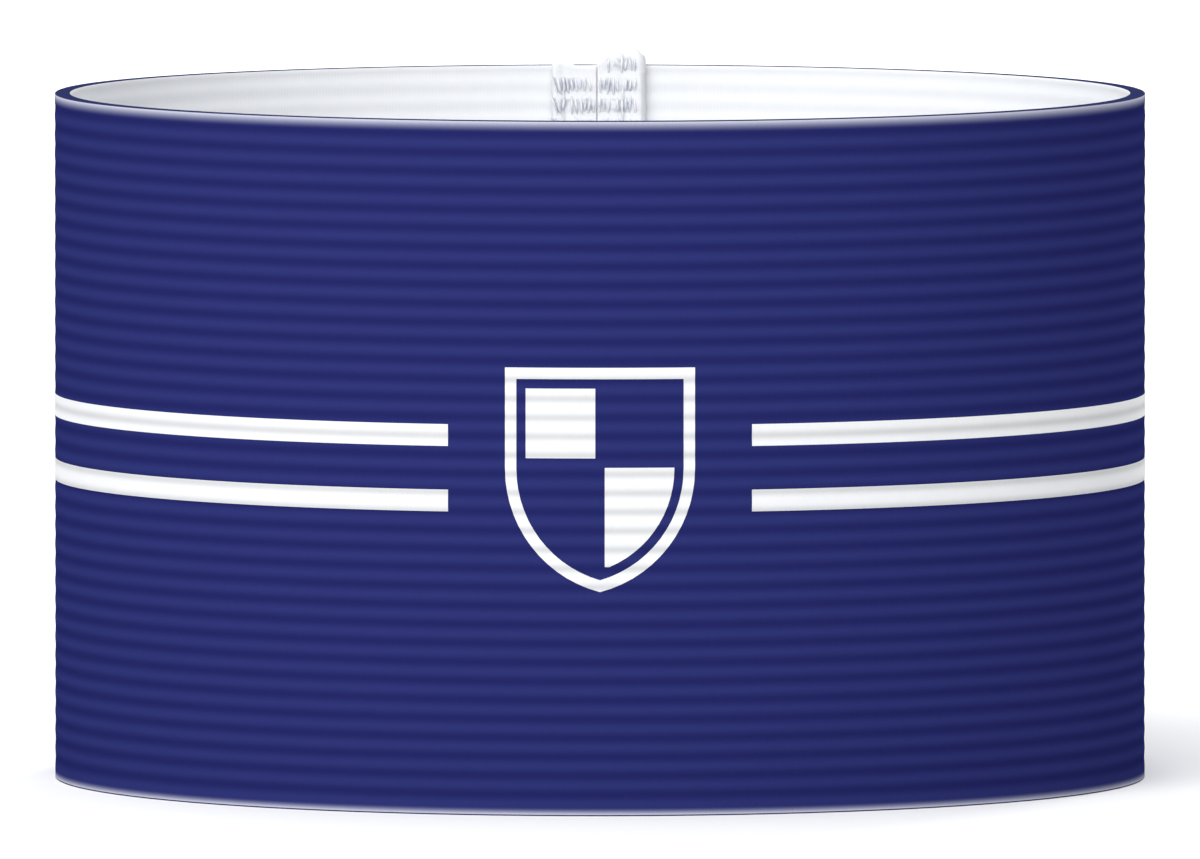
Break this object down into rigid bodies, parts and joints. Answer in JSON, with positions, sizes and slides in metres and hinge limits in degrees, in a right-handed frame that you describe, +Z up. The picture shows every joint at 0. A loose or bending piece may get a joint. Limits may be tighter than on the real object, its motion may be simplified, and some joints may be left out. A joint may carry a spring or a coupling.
{
  "type": "captain armband",
  "caption": "Elastic captain's armband: a wide ribbed strip sewn into a loop, with its ends turned back flat inside, worn round the upper arm.",
  "frame": {"origin": "centre of the lower rim, in the plane that the armband stands on", "axes": "+Z up along the axis of the loop, -Y the front with the motif, +Y the seam at the back"},
  "size_m": [0.1114, 0.1114, 0.0716],
  "materials": {
    "navy_elastic": "ribbed woven elastic, navy outside and white inside, matt with a faint sheen",
    "white_elastic": "undyed ribbed elastic with overlocked edges, matt and a little fluffy"
  },
  "bodies": {
    "root": {"elastic_band": "navy_elastic", "seam_allowance_left": "white_elastic", "seam_allowance_right": "white_elastic"}
  },
  "joints": []
}
